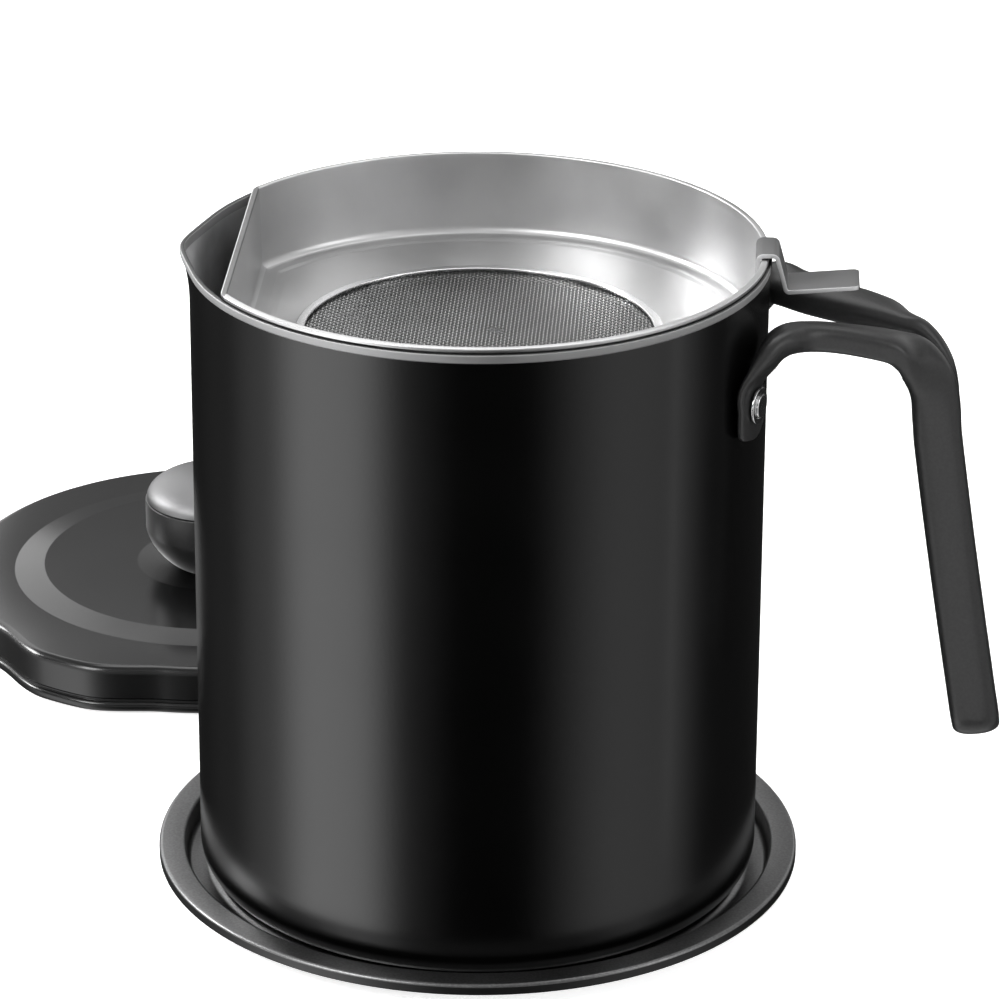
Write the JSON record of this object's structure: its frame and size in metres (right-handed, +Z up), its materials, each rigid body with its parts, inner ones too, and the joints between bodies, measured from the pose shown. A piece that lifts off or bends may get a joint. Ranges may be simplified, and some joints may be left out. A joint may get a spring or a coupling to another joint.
{
  "type": "bacon grease container",
  "caption": "Black steel grease keeper with pouring beak, bar handle, lift-out strainer basket with fine mesh, drip tray and knobbed lid lying beside it.",
  "frame": {"origin": "centre of the tray's flat underside, on the table", "axes": "+Z up, the pot's spout points to -X and its handle to +X; the lid lies behind the tray, towards -X and +Y"},
  "size_m": [0.2655, 0.2821, 0.1542],
  "materials": {
    "tray_metal": "satin grey steel",
    "black_coat": "satin black non-stick coat",
    "handle_coat": "satin black coat",
    "polished_steel": "polished stainless steel",
    "brushed_steel": "satin stainless steel",
    "mesh_wire": "stainless wire",
    "tab_steel": "satin stainless steel",
    "lid_coat": "satin dark grey coat",
    "knob_black": "semi-gloss black heat-proof plastic",
    "cap_metal": "satin steel",
    "screw_steel": "plain steel"
  },
  "bodies": {
    "tray": {"tray": "tray_metal"},
    "pot": {"pot_shell": "black_coat", "handle_bar": "handle_coat", "rivet_front": "polished_steel", "rivet_back": "polished_steel"},
    "strainer": {"strainer_basket": "brushed_steel", "mesh_ring": "polished_steel", "strainer_mesh": "mesh_wire", "strainer_tab": "tab_steel"},
    "lid": {"lid_shell": "lid_coat", "knob_body": "knob_black", "knob_cap": "cap_metal", "knob_screw": "screw_steel", "screw_washer": "screw_steel"}
  },
  "joints": [
    {"name": "pot_lift", "type": "slide", "parent": "tray", "child": "pot", "axis": [0, 0, 1], "range_m": [0, 0.05]},
    {"name": "strainer_lift", "type": "slide", "parent": "pot", "child": "strainer", "axis": [0, 0, 1], "range_m": [0, 0.06]},
    {"name": "lid_lift", "type": "slide", "parent": "tray", "child": "lid", "axis": [0, 0, 1], "range_m": [0, 0.06]}
  ]
}
